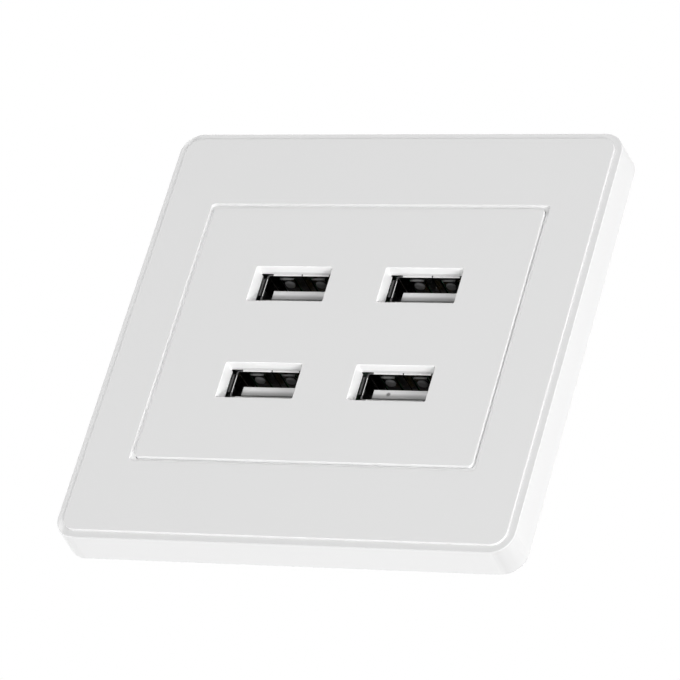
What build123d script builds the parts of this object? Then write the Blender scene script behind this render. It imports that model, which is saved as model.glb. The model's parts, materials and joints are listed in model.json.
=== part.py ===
from build123d import *
import math
import os

# Wall socket with four charging ports, in millimetres.
# The wall is the plane Y = 0, the face looks along -Y and +Z is up.
# A "level" is a height above the wall, so the rear box has negative levels.

# Face frame
plate_size = 86.0
plate_corner_radius = 4.0
plate_level = 6.95
side_flare = 0.25
ledge_width = 1.35
ledge_step = 0.45
frame_wall = 1.8
frame_skin = 2.2
ledge_edge_radius = 0.15
plateau_edge_radius = 0.1

# Centre panel and the shadow groove round it
panel_width = 63.9
panel_height = 53.0
panel_corner_radius = 0.8
panel_skin = 2.1
panel_wall = 1.6
panel_edge_radius = 0.1
panel_clearance = 0.1
groove_width = 0.85
groove_depth = 0.7
stiffener_wall = 1.2
stiffener_gap = 0.3

# Port windows in the panel
port_pitch_x = 25.1
port_pitch_z = 20.34
window_width = 14.75
window_height = 7.3
window_corner_radius = 0.35
window_edge_radius = 0.1
collar_wall = 1.0
collar_rise = 0.25
cheek_rise = 1.0

# Charging receptacles
mouth_width = 12.5
mouth_height = 5.12
mouth_rise = 1.16
shell_sheet = 0.3
shell_corner_radius = 0.6
lip_gap = 0.55
lip_length = 0.25
lip_flare = 0.5
wide_lip_span = 10.8
side_lip_span = 3.6
lip_notch = 0.25
seam_width = 0.14
seam_offset = 0.2
spring_pitch = 6.05
spring_width = 2.5
spring_length = 5.0
spring_slot = 0.4
spring_setback = 0.9
spring_toe = 0.15
dimple_radius = 0.95
dimple_rise = 0.4
dimple_setback = 2.4
shell_tab_width = 1.8
shell_tab_pitch = 3.4
receptacle_length = 9.8
insulator_base = 3.2
insulator_clearance = 0.03
tongue_width = 10.8
tongue_thickness = 1.84
tongue_top_rise = 0.54
tongue_setback = 1.6
tongue_edge_radius = 0.2
contact_width = 1.0
contact_thickness = 0.25
contact_clearance = 0.02
contact_setback = 0.8
contact_inner_offset = 1.0
contact_outer_offset = 3.5

# Mounting bracket
bracket_thickness = 1.8
bracket_clearance = 0.5
bracket_corner_radius = 2.0
bracket_rim_wall = 1.2
bracket_rim_rise = 2.4
wall_screw_pitch = 60.3
wall_slot_width = 4.4
wall_slot_length = 7.0
leg_width = 8.0
leg_thickness = 1.6
leg_inset = 3.0
leg_spread = 24.0
leg_tip_level = 0.5
leg_lead = 0.5
leg_clearance = 0.2
pry_notch_width = 6.0
pry_notch_depth = 1.0

# Rear housing
housing_width = 51.0
housing_height = 46.0
housing_depth = 29.0
housing_draft = 0.6
housing_wall = 1.5
housing_rear_wall = 1.6
housing_corner_radius = 2.5
housing_clearance = 0.25
flange_thickness = 1.6
flange_clearance = 0.1
vent_width = 1.6
vent_length = 12.0
vent_pitch = 3.6
vent_count = 6
side_vent_length = 9.0
side_vent_count = 4

# Panel screws, driven from behind through bracket and flange
panel_screw_offset = 1.8
panel_screw_pitch_z = 36.0
panel_screw_radius = 0.8
panel_screw_head_radius = 1.4
panel_screw_head_height = 0.9
panel_screw_recess = 0.15
panel_screw_reach = 6.0
panel_boss_radius = 1.5
screw_clearance = 0.2
thread_clearance = 0.02

# Circuit boards
board_thickness = 1.6
board_clearance = 0.2
board_screw_radius = 0.95
board_screw_head_radius = 1.7
board_screw_head_height = 1.2
board_screw_length = 3.8
column_side = 4.6
column_clearance = 0.25
power_board_gap = 1.2
power_board_clearance = 0.1
power_post_radius = 1.9
power_post_inset = 2.4
pin_proud = 0.8
lead_clearance = 0.2
link_pin_side = 0.64
link_pin_pitch = 2.54
link_pin_count = 4
link_header_height = 2.5
link_offset = 3.0

# Mains terminals with rising cages
pole_pitch = 10.4
terminal_screw_radius = 1.75
terminal_screw_fit = 0.05
terminal_head_radius = 2.6
terminal_head_height = 1.3
terminal_head_slot_width = 0.8
terminal_head_slot_depth = 0.6
terminal_travel = 3.0
tab_width = 3.4
tab_thickness = 0.8
tab_rise_inset = 2.1
wire_gap = 3.3
wire_hole_radius = 1.8
cage_side_wall = 1.0
cage_top_wall = 1.2
cage_thread_wall = 2.2
cage_width = 6.0
cage_length = 6.0
cage_clearance = 0.3
block_wall = 1.2
block_front_wall = 0.65
block_foot_wall = 1.3
block_roof = 0.6
cage_rear_gap = 2.8

# Power parts, packed against the walls and each other with a gap
part_gap = 0.3
input_capacitor_radius = 4.0
input_capacitor_height = 13.0
output_capacitor_radius = 3.15
output_capacitor_height = 11.0
capacitor_crimp = 0.35
capacitor_crimp_height = 1.2
core_width = 14.6
core_height = 11.6
core_depth = 5.0
core_leg = 4.6
core_outer_leg = 2.7
core_yoke = 2.6
core_lift = 1.4
bobbin_wall = 0.6
bobbin_flange = 0.9
bobbin_depth = 12.6
bobbin_foot = 2.6
winding_depth = 11.2
winding_clearance = 0.05
choke_radius = 3.2
choke_height = 8.6
choke_waist_radius = 1.7
choke_flange = 1.3
choke_winding_radius = 2.8
bridge_width = 8.2
bridge_length = 6.4
bridge_height = 3.2
fuse_width = 8.4
fuse_length = 4.0
fuse_height = 7.6
varistor_radius = 3.0
varistor_thickness = 3.4
safety_capacitor_radius = 2.9
safety_capacitor_thickness = 3.8
optocoupler_width = 6.2
optocoupler_length = 4.5
optocoupler_height = 3.4
controller_width = 4.9
controller_length = 3.9
controller_height = 1.6
diode_width = 4.2
diode_length = 6.6
diode_height = 2.3
charge_chip_width = 4.9
charge_chip_length = 3.9
charge_chip_height = 1.5
chip_edge = 0.35

# Faces closer in height than this count as one level
level_tolerance = 0.01

# Levels and places that follow from the sizes above
ledge_level = plate_level - ledge_step
frame_inner = plate_size - 2 * frame_wall
skin_back = plate_level - frame_skin
panel_back = plate_level - panel_skin
panel_inner_width = panel_width - 2 * panel_wall
panel_inner_height = panel_height - 2 * panel_wall
flange_front = bracket_thickness + flange_thickness
stiffener_rise = panel_back - flange_front - stiffener_gap
lip_level = panel_back - collar_rise - lip_gap
mouth_level = lip_level - lip_length
board_front = mouth_level - receptacle_length
board_back = board_front - board_thickness
tongue_level = mouth_level - tongue_setback
rear_inner = housing_rear_wall - housing_depth
power_back = rear_inner + power_board_gap
power_front = power_back + board_thickness
panel_screw_pitch_x = housing_width + 2 * panel_screw_offset
panel_screw_slope = (panel_screw_head_radius - panel_screw_radius) / panel_screw_head_height
panel_sink_radius = panel_screw_head_radius + panel_screw_slope * panel_screw_recess + thread_clearance
cavity_width = housing_width - 2 * (housing_wall + housing_draft)
cavity_height = housing_height - 2 * (housing_wall + housing_draft)
board_width = cavity_width - 2 * board_clearance
board_height = cavity_height - 2 * board_clearance
block_foot = -cavity_height / 2
chamber_foot = block_foot + block_foot_wall
cage_foot = chamber_foot + terminal_travel + cage_clearance
tab_z = cage_foot + cage_thread_wall + cage_clearance + tab_thickness / 2
cage_top = tab_z + tab_thickness / 2 + wire_gap + cage_top_wall
block_top = cage_top + cage_clearance + block_roof
power_board_foot = block_top + power_board_clearance
tab_rise_z = power_board_foot + tab_rise_inset
power_post_x = cavity_width / 2 - power_post_inset
power_post_z = power_board_foot + power_post_inset
power_board_height = board_height / 2 - power_board_foot
power_board_z = (board_height / 2 + power_board_foot) / 2
column_pitch_x = cavity_width - column_side
column_pitch_z = cavity_height - column_side
shell_width = mouth_width + 2 * shell_sheet
shell_height = mouth_height + 2 * shell_sheet
bracket_size = frame_inner - 2 * bracket_clearance
pole_places = (-pole_pitch / 2, pole_pitch / 2)
port_places = [
    (column * port_pitch_x / 2, row * port_pitch_z / 2 + mouth_rise)
    for row in (1, -1)
    for column in (-1, 1)
]
leg_reach = frame_inner / 2 - leg_inset - leg_thickness / 2
leg_places_upright = [(side * leg_reach, end * leg_spread) for side in (-1, 1) for end in (-1, 1)]
leg_places_level = [(end * leg_spread, side * leg_reach) for side in (-1, 1) for end in (-1, 1)]
shell_tab_places = [
    (x + side * (shell_width - shell_sheet) / 2, z + end * shell_tab_pitch / 2)
    for x, z in port_places
    for side in (-1, 1)
    for end in (-1, 1)
]
contact_offsets = (
    -contact_outer_offset,
    -contact_inner_offset,
    contact_inner_offset,
    contact_outer_offset,
)
link_x = link_offset
link_z = cavity_height / 2 - part_gap - link_pin_pitch / 2
link_hole_radius = math.hypot(link_pin_side, link_pin_side) / 2 + lead_clearance
link_pin_places = [
    (link_x + (number - (link_pin_count - 1) / 2) * link_pin_pitch, link_z)
    for number in range(link_pin_count)
]


# Places of the power parts: each row starts at a wall, and the transformer stands between
parts_left = -cavity_width / 2 + part_gap
parts_right = cavity_width / 2 - part_gap
parts_top = cavity_height / 2 - part_gap
parts_foot = power_board_foot + part_gap
input_step = 2 * input_capacitor_radius + part_gap
input_capacitor_places = (
    (parts_left + column_side + input_capacitor_radius, parts_top - input_capacitor_radius),
    (parts_left + input_capacitor_radius, parts_top - input_capacitor_radius - input_step),
)
output_strip = max(column_side, diode_width + part_gap)
output_step = 2 * output_capacitor_radius + part_gap
output_x = parts_right - output_strip - output_capacitor_radius
output_capacitor_places = (
    (output_x, parts_top - output_capacitor_radius),
    (output_x, parts_top - output_capacitor_radius - output_step),
)
choke_x = parts_left + input_step + choke_radius
choke_z = input_capacitor_places[1][1]
controller_place = (
    input_capacitor_places[0][0] + input_step - input_capacitor_radius + controller_width / 2,
    parts_top - controller_length / 2,
)
transformer_left = choke_x + choke_radius
transformer_right = output_x - output_capacitor_radius
transformer_x = (transformer_left + transformer_right) / 2
transformer_z = parts_top - max(controller_length, link_pin_pitch) - part_gap - bobbin_depth / 2
bridge_place = (
    -power_post_x + board_screw_head_radius + part_gap + bridge_width / 2,
    parts_foot + bridge_length / 2,
)
fuse_place = (
    power_post_x - board_screw_head_radius - part_gap - fuse_width / 2,
    parts_foot + fuse_length / 2,
)
varistor_place = (0, parts_foot + varistor_radius)
optocoupler_place = (
    output_x,
    parts_top - 2 * output_step - optocoupler_length / 2,
)
diode_place = (parts_right - diode_width / 2, parts_top - column_side - diode_length / 2)
safety_capacitor_place = (
    parts_right - safety_capacitor_thickness / 2,
    diode_place[1] - diode_length / 2 - part_gap - safety_capacitor_radius,
)
charge_chip_places = ((-port_pitch_x / 4, 0), (port_pitch_x / 4, 0))

os.makedirs("parts", exist_ok=True)


def keep(piece, name):
    """Names a finished piece and writes it out."""
    piece.part.label = name
    export_step(piece.part, f"parts/{name}.step")


# Cover frame: flared rim, stepped face, stepped opening and eight grip legs
with BuildPart() as cover_frame:
    with BuildSketch(Plane.XZ):
        RectangleRounded(
            plate_size + 2 * side_flare,
            plate_size + 2 * side_flare,
            plate_corner_radius + side_flare,
        )
    with BuildSketch(Plane.XZ.offset(ledge_level)):
        RectangleRounded(plate_size, plate_size, plate_corner_radius)
    loft()
    fillet(cover_frame.faces().sort_by(Axis.Y)[0].edges(), ledge_edge_radius)
    with BuildSketch(Plane.XZ.offset(ledge_level)):
        RectangleRounded(
            plate_size - 2 * ledge_width,
            plate_size - 2 * ledge_width,
            plate_corner_radius - ledge_width,
        )
    extrude(amount=ledge_step)
    fillet(cover_frame.faces().sort_by(Axis.Y)[0].edges(), plateau_edge_radius)
    with BuildSketch(Plane.XZ):
        RectangleRounded(frame_inner, frame_inner, plate_corner_radius - frame_wall)
    extrude(amount=skin_back, mode=Mode.SUBTRACT)
    with BuildSketch(Plane.XZ.offset(plate_level)):
        RectangleRounded(
            panel_width + 2 * groove_width,
            panel_height + 2 * groove_width,
            panel_corner_radius,
        )
    extrude(amount=-groove_depth, mode=Mode.SUBTRACT)
    with BuildSketch(Plane.XZ.offset(plate_level)):
        RectangleRounded(
            panel_width + 2 * panel_clearance,
            panel_height + 2 * panel_clearance,
            panel_corner_radius,
        )
    extrude(amount=-frame_skin, mode=Mode.SUBTRACT)
    with BuildSketch(Plane.XZ.offset(skin_back)):
        with Locations(leg_places_upright):
            Rectangle(leg_thickness, leg_width)
        with Locations(leg_places_level):
            Rectangle(leg_width, leg_thickness)
    extrude(amount=leg_tip_level - skin_back)
    leg_tips = cover_frame.faces().filter_by(Plane.XZ).filter_by(
        lambda face: abs(face.center().Y + leg_tip_level) < level_tolerance
    )
    chamfer(leg_tips.edges(), leg_lead)
    with BuildSketch(Plane.XY.offset(frame_inner / 2)):
        Rectangle(pry_notch_width, 2 * pry_notch_depth)
    extrude(amount=plate_size, mode=Mode.SUBTRACT)
keep(cover_frame, "cover_frame")

# Centre panel: a shallow tray with collared port windows, cross stiffeners and screw bosses
with BuildPart() as centre_panel:
    with BuildSketch(Plane.XZ.offset(bracket_thickness)):
        RectangleRounded(panel_width, panel_height, panel_corner_radius)
    extrude(amount=plate_level - bracket_thickness)
    fillet(centre_panel.faces().sort_by(Axis.Y)[0].edges(), panel_edge_radius)
    with BuildSketch(Plane.XZ.offset(bracket_thickness)):
        Rectangle(panel_inner_width, panel_inner_height)
    extrude(amount=panel_back - bracket_thickness, mode=Mode.SUBTRACT)
    with BuildSketch(Plane.XZ.offset(panel_back)):
        Rectangle(panel_inner_width, stiffener_wall)
        Rectangle(stiffener_wall, panel_inner_height)
    extrude(amount=-stiffener_rise)
    with BuildSketch(Plane.XZ.offset(flange_front)):
        with GridLocations(panel_screw_pitch_x, panel_screw_pitch_z, 2, 2):
            Circle(panel_boss_radius)
    extrude(amount=panel_back - flange_front)
    with BuildSketch(Plane.XZ.offset(panel_back)):
        with GridLocations(port_pitch_x, port_pitch_z, 2, 2):
            Rectangle(window_width + 2 * collar_wall, window_height + 2 * collar_wall)
    extrude(amount=-collar_rise)
    with BuildSketch(Plane.XZ.offset(panel_back)):
        with GridLocations(port_pitch_x, port_pitch_z, 2, 2):
            with GridLocations(window_width + collar_wall, 0, 2, 1):
                Rectangle(collar_wall, window_height)
    extrude(amount=-cheek_rise)
    with BuildSketch(Plane.XZ.offset(bracket_thickness)):
        with GridLocations(panel_screw_pitch_x, panel_screw_pitch_z, 2, 2):
            Circle(panel_screw_radius + thread_clearance)
    extrude(amount=panel_screw_reach + screw_clearance - bracket_thickness, mode=Mode.SUBTRACT)
    with BuildSketch(Plane.XZ.offset(plate_level)):
        with GridLocations(port_pitch_x, port_pitch_z, 2, 2):
            RectangleRounded(window_width, window_height, window_corner_radius)
    extrude(amount=-panel_skin - cheek_rise, mode=Mode.SUBTRACT)
    face = centre_panel.faces().sort_by(Axis.Y)[0]
    fillet(face.inner_wires().edges(), window_edge_radius)
keep(centre_panel, "centre_panel")

# Mounting bracket: plate with an opening for the rear box, slots and a stiff rim
with BuildPart() as mounting_bracket:
    with BuildSketch(Plane.XZ):
        RectangleRounded(bracket_size, bracket_size, bracket_corner_radius)
        RectangleRounded(
            housing_width + 2 * housing_clearance,
            housing_height + 2 * housing_clearance,
            housing_corner_radius,
            mode=Mode.SUBTRACT,
        )
        with GridLocations(0, wall_screw_pitch, 1, 2):
            SlotOverall(wall_slot_length, wall_slot_width, rotation=90, mode=Mode.SUBTRACT)
        with GridLocations(panel_screw_pitch_x, panel_screw_pitch_z, 2, 2):
            Circle(panel_screw_radius + screw_clearance, mode=Mode.SUBTRACT)
        with Locations(leg_places_upright):
            Rectangle(
                leg_thickness + 2 * leg_clearance,
                leg_width + 2 * leg_clearance,
                mode=Mode.SUBTRACT,
            )
        with Locations(leg_places_level):
            Rectangle(
                leg_width + 2 * leg_clearance,
                leg_thickness + 2 * leg_clearance,
                mode=Mode.SUBTRACT,
            )
    extrude(amount=bracket_thickness)
    with Locations(Plane.XZ):
        with GridLocations(panel_screw_pitch_x, panel_screw_pitch_z, 2, 2):
            Cone(
                panel_sink_radius,
                panel_screw_radius + thread_clearance,
                panel_screw_recess + panel_screw_head_height,
                align=(Align.CENTER, Align.CENTER, Align.MIN),
                mode=Mode.SUBTRACT,
            )
    with BuildSketch(Plane.XZ.offset(bracket_thickness)):
        RectangleRounded(bracket_size, bracket_size, bracket_corner_radius)
        RectangleRounded(
            bracket_size - 2 * bracket_rim_wall,
            bracket_size - 2 * bracket_rim_wall,
            bracket_corner_radius - bracket_rim_wall,
            mode=Mode.SUBTRACT,
        )
    extrude(amount=bracket_rim_rise)
keep(mounting_bracket, "mounting_bracket")

# Rear housing: drafted box with a front flange, board columns, vents and wire entries
with BuildPart() as rear_housing:
    with BuildSketch(Plane.XZ.offset(-housing_depth)):
        RectangleRounded(
            housing_width - 2 * housing_draft,
            housing_height - 2 * housing_draft,
            housing_corner_radius,
        )
    with BuildSketch(Plane.XZ.offset(bracket_thickness)):
        RectangleRounded(housing_width, housing_height, housing_corner_radius)
    loft()
    with BuildSketch(Plane.XZ.offset(bracket_thickness)):
        Rectangle(
            panel_inner_width - 2 * flange_clearance,
            panel_inner_height - 2 * flange_clearance,
        )
    extrude(amount=flange_thickness)
    with BuildSketch(Plane.XZ.offset(flange_front)):
        Rectangle(cavity_width, cavity_height)
    extrude(amount=rear_inner - flange_front, mode=Mode.SUBTRACT)
    with BuildSketch(Plane.XZ.offset(rear_inner)):
        with GridLocations(column_pitch_x, column_pitch_z, 2, 2):
            Rectangle(column_side, column_side)
    extrude(amount=board_back - rear_inner)
    with BuildSketch(Plane.XZ.offset(rear_inner)):
        with Locations((-power_post_x, power_post_z), (power_post_x, power_post_z)):
            Circle(power_post_radius)
        with GridLocations(column_pitch_x, 0, 2, 1):
            with Locations((0, cavity_height / 2 - 1.5 * column_side)):
                Rectangle(column_side, column_side)
    extrude(amount=power_board_gap)
    with BuildSketch(Plane.XZ.offset(board_front)):
        with GridLocations(column_pitch_x, column_pitch_z, 2, 2):
            Circle(board_screw_radius + thread_clearance)
    extrude(amount=-board_screw_length - screw_clearance, mode=Mode.SUBTRACT)
    with BuildSketch(Plane.XZ.offset(power_front)):
        with Locations((-power_post_x, power_post_z), (power_post_x, power_post_z)):
            Circle(board_screw_radius + thread_clearance)
    extrude(amount=-board_screw_length - screw_clearance, mode=Mode.SUBTRACT)
    with BuildSketch(Plane.XZ.offset(bracket_thickness)):
        with GridLocations(panel_screw_pitch_x, panel_screw_pitch_z, 2, 2):
            Circle(panel_screw_radius + screw_clearance)
    extrude(amount=flange_thickness, mode=Mode.SUBTRACT)
    with BuildSketch(Plane.XZ.offset(-housing_depth)):
        with Locations((0, cavity_height / 4)):
            with GridLocations(vent_pitch, 0, vent_count, 1):
                SlotOverall(vent_length, vent_width, rotation=90)
        with Locations([(x, tab_z + (tab_thickness + wire_gap) / 2) for x in pole_places]):
            Circle(wire_hole_radius)
    extrude(amount=housing_rear_wall, mode=Mode.SUBTRACT)
    with BuildSketch(Plane.YZ):
        with Locations((housing_depth / 2, cavity_height / 8)):
            with GridLocations(0, vent_pitch, 1, side_vent_count):
                SlotOverall(side_vent_length, vent_width)
    extrude(amount=housing_width, both=True, mode=Mode.SUBTRACT)
    cage_level = rear_inner + cage_rear_gap + cage_length / 2
    with BuildSketch(Plane.XY.offset(-cavity_height / 2)):
        with Locations([(x, -cage_level) for x in pole_places]):
            Circle(terminal_head_radius + screw_clearance)
    extrude(amount=-housing_height, mode=Mode.SUBTRACT)
keep(rear_housing, "rear_housing")

# Panel screws: countersunk, just below the back of the bracket
with BuildPart() as panel_screws:
    with Locations(Plane.XZ.offset(panel_screw_recess)):
        with GridLocations(panel_screw_pitch_x, panel_screw_pitch_z, 2, 2):
            Cone(
                panel_screw_head_radius,
                panel_screw_radius,
                panel_screw_head_height,
                align=(Align.CENTER, Align.CENTER, Align.MIN),
            )
    with BuildSketch(Plane.XZ.offset(panel_screw_recess)):
        with GridLocations(panel_screw_pitch_x, panel_screw_pitch_z, 2, 2):
            Circle(panel_screw_radius)
    extrude(amount=panel_screw_reach - panel_screw_recess)
keep(panel_screws, "panel_screws")

# Port board: carries the four receptacles, with slots for every tab and contact
with BuildPart() as usb_board:
    with BuildSketch(Plane.XZ.offset(board_back)):
        Rectangle(board_width, board_height)
        with GridLocations(column_pitch_x, column_pitch_z, 2, 2):
            Circle(board_screw_radius + screw_clearance, mode=Mode.SUBTRACT)
        with Locations(shell_tab_places):
            Rectangle(
                shell_sheet + 2 * lead_clearance,
                shell_tab_width + 2 * lead_clearance,
                mode=Mode.SUBTRACT,
            )
        contact_z = tongue_top_rise - contact_thickness / 2
        with Locations([(x + dx, z + contact_z) for x, z in port_places for dx in contact_offsets]):
            Rectangle(
                contact_width + 2 * lead_clearance,
                contact_thickness + 2 * lead_clearance,
                mode=Mode.SUBTRACT,
            )
        with Locations(link_pin_places):
            Circle(link_hole_radius, mode=Mode.SUBTRACT)
    extrude(amount=board_thickness)
keep(usb_board, "usb_board")

# Power board: clear of the two upper columns, with slots for the terminal tabs
with BuildPart() as power_board:
    with BuildSketch(Plane.XZ.offset(power_back)):
        with Locations((0, power_board_z)):
            Rectangle(board_width, power_board_height)
        with Locations([(side * column_pitch_x / 2, column_pitch_z / 2) for side in (-1, 1)]):
            Rectangle(
                column_side + 2 * column_clearance,
                column_side + 2 * column_clearance,
                mode=Mode.SUBTRACT,
            )
        with Locations((-power_post_x, power_post_z), (power_post_x, power_post_z)):
            Circle(board_screw_radius + screw_clearance, mode=Mode.SUBTRACT)
        with Locations([(x, tab_rise_z) for x in pole_places]):
            Rectangle(
                tab_width + 2 * lead_clearance,
                tab_thickness + 2 * lead_clearance,
                mode=Mode.SUBTRACT,
            )
        with Locations(link_pin_places):
            Circle(link_hole_radius, mode=Mode.SUBTRACT)
    extrude(amount=board_thickness)
keep(power_board, "power_board")

# Board screws: four through the port board, two through the power board
with BuildPart() as board_screws:
    with BuildSketch(Plane.XZ.offset(board_front)):
        with GridLocations(column_pitch_x, column_pitch_z, 2, 2):
            Circle(board_screw_head_radius)
    extrude(amount=board_screw_head_height)
    with BuildSketch(Plane.XZ.offset(board_front)):
        with GridLocations(column_pitch_x, column_pitch_z, 2, 2):
            Circle(board_screw_radius)
    extrude(amount=-board_screw_length)
    with BuildSketch(Plane.XZ.offset(power_front)):
        with Locations((-power_post_x, power_post_z), (power_post_x, power_post_z)):
            Circle(board_screw_head_radius)
    extrude(amount=board_screw_head_height)
    with BuildSketch(Plane.XZ.offset(power_front)):
        with Locations((-power_post_x, power_post_z), (power_post_x, power_post_z)):
            Circle(board_screw_radius)
    extrude(amount=-board_screw_length)
keep(board_screws, "board_screws")

# Link between the boards: a pin strip on the power board
with BuildPart() as link_header:
    with BuildSketch(Plane.XZ.offset(power_front)):
        with Locations((link_x, link_z)):
            Rectangle(link_pin_count * link_pin_pitch, link_pin_pitch)
        with Locations(link_pin_places):
            Rectangle(
                link_pin_side + 2 * contact_clearance,
                link_pin_side + 2 * contact_clearance,
                mode=Mode.SUBTRACT,
            )
    extrude(amount=link_header_height)
keep(link_header, "link_header")

with BuildPart() as link_pins:
    with BuildSketch(Plane.XZ.offset(power_back - pin_proud)):
        with Locations(link_pin_places):
            Rectangle(link_pin_side, link_pin_side)
    extrude(amount=board_front + pin_proud - (power_back - pin_proud))
keep(link_pins, "link_pins")

# Receptacles: a folded metal shell, a moulded insulator with its tongue, and contacts
for number, (x, z) in enumerate(port_places, start=1):
    with BuildPart() as usb_shell:
        with BuildSketch(Plane.XZ.offset(board_front)):
            with Locations((x, z)):
                RectangleRounded(shell_width, shell_height, shell_corner_radius)
                RectangleRounded(
                    mouth_width,
                    mouth_height,
                    shell_corner_radius - shell_sheet,
                    mode=Mode.SUBTRACT,
                )
        extrude(amount=receptacle_length)
        for side in (-1, 1):
            inner = z + side * mouth_height / 2
            with BuildSketch(Plane.YZ.offset(x)):
                Polygon(
                    (-mouth_level, inner),
                    (-lip_level, inner + side * lip_flare),
                    (-lip_level, inner + side * (lip_flare + shell_sheet)),
                    (-mouth_level, inner + side * shell_sheet),
                )
            extrude(amount=wide_lip_span / 2, both=True)
            inner = x + side * mouth_width / 2
            with BuildSketch(Plane.XY.offset(z)):
                Polygon(
                    (inner, -mouth_level),
                    (inner + side * lip_flare, -lip_level),
                    (inner + side * (lip_flare + shell_sheet), -lip_level),
                    (inner + side * shell_sheet, -mouth_level),
                )
            extrude(amount=side_lip_span / 2, both=True)
        roof = Plane.XY.offset(z + mouth_height / 2)
        with BuildSketch(roof):
            with Locations((x + seam_offset, -(board_front + mouth_level) / 2)):
                Rectangle(seam_width, receptacle_length)
            with Locations((x + seam_offset, -(mouth_level + lip_level) / 2)):
                Rectangle(lip_notch, lip_length)
            spring_centre = mouth_level - spring_setback - spring_length / 2
            with Locations([(x + end * spring_pitch / 2, -spring_centre) for end in (-1, 1)]):
                Rectangle(spring_width + 2 * spring_slot, spring_length + 2 * spring_slot)
                Rectangle(spring_width, spring_length, mode=Mode.SUBTRACT)
                with Locations((0, spring_length / 2)):
                    Rectangle(spring_width, 4 * spring_slot, mode=Mode.SUBTRACT)
        extrude(amount=lip_flare + 2 * shell_sheet, mode=Mode.SUBTRACT)
        toe_y = spring_setback - mouth_level + shell_sheet / 2
        with BuildSketch(roof):
            with Locations([(x + end * spring_pitch / 2, toe_y) for end in (-1, 1)]):
                Rectangle(spring_width, shell_sheet)
        extrude(amount=-spring_toe)
        with BuildSketch(roof):
            with Locations(
                [(x + end * spring_pitch / 2, dimple_setback - mouth_level) for end in (-1, 1)]
            ):
                Circle(dimple_radius)
        extrude(amount=-dimple_rise)
        dimples = usb_shell.faces().filter_by(Plane.XY).filter_by(
            lambda face: abs(face.center().Z - roof.origin.Z + dimple_rise) < level_tolerance
        )
        fillet(dimples.edges(), 0.75 * dimple_rise)
        with BuildSketch(Plane.XZ.offset(board_front)):
            with Locations(shell_tab_places[4 * number - 4:4 * number]):
                Rectangle(shell_sheet, shell_tab_width)
        extrude(amount=-board_thickness - pin_proud)
    keep(usb_shell, f"usb_shell_{number}")

    tongue_top = z + tongue_top_rise
    contact_places = [(x + dx, tongue_top - contact_thickness / 2) for dx in contact_offsets]
    with BuildPart() as usb_tongue:
        with BuildSketch(Plane.XZ.offset(board_front)):
            with Locations((x, z)):
                Rectangle(
                    mouth_width - 2 * insulator_clearance,
                    mouth_height - 2 * insulator_clearance,
                )
        extrude(amount=insulator_base)
        fillet(usb_tongue.edges().filter_by(Axis.Y), shell_corner_radius - shell_sheet)
        with BuildSketch(Plane.XZ.offset(board_front + insulator_base)):
            with Locations((x, tongue_top - tongue_thickness / 2)):
                Rectangle(tongue_width, tongue_thickness)
        extrude(amount=tongue_level - board_front - insulator_base)
        fillet(usb_tongue.faces().sort_by(Axis.Y)[0].edges(), tongue_edge_radius)
        with BuildSketch(Plane.XZ.offset(board_front)):
            with Locations(contact_places):
                Rectangle(
                    contact_width + 2 * contact_clearance,
                    contact_thickness + 2 * contact_clearance,
                )
        extrude(
            amount=tongue_level - contact_setback + contact_clearance - board_front,
            mode=Mode.SUBTRACT,
        )
    keep(usb_tongue, f"usb_tongue_{number}")

    with BuildPart() as usb_contacts:
        with BuildSketch(Plane.XZ.offset(board_back - pin_proud)):
            with Locations(contact_places):
                Rectangle(contact_width, contact_thickness)
        extrude(amount=tongue_level - contact_setback - board_back + pin_proud)
    keep(usb_contacts, f"usb_contacts_{number}")

# Terminal block: one chamber for each pole, open to the wire side
cage_front = rear_inner + cage_rear_gap + cage_length
block_front = cage_front + cage_clearance + block_front_wall
chamber_top = block_top - block_roof
screw_shoulder = block_foot - terminal_screw_fit
with BuildPart() as terminal_block:
    with BuildSketch(Plane.XZ.offset(rear_inner)):
        with Locations((0, (block_top + block_foot) / 2)):
            Rectangle(
                pole_pitch + cage_width + 2 * (cage_clearance + block_wall),
                block_top - block_foot,
            )
    extrude(amount=block_front - rear_inner)
    with BuildSketch(Plane.XZ.offset(rear_inner)):
        with Locations([(x, (chamber_top + chamber_foot) / 2) for x in pole_places]):
            Rectangle(cage_width + 2 * cage_clearance, chamber_top - chamber_foot)
    extrude(amount=cage_front + cage_clearance - rear_inner, mode=Mode.SUBTRACT)
    with BuildSketch(Plane.XZ.offset(block_front)):
        with Locations([(x, tab_z) for x in pole_places]):
            Rectangle(tab_width + 2 * contact_clearance, tab_thickness + 2 * contact_clearance)
    extrude(amount=-block_front_wall, mode=Mode.SUBTRACT)
    with BuildSketch(Plane.XY.offset(block_foot)):
        with Locations([(x, -cage_level) for x in pole_places]):
            Circle(terminal_screw_radius + terminal_screw_fit)
    extrude(amount=chamber_foot - block_foot, mode=Mode.SUBTRACT)
keep(terminal_block, "terminal_block")

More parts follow.
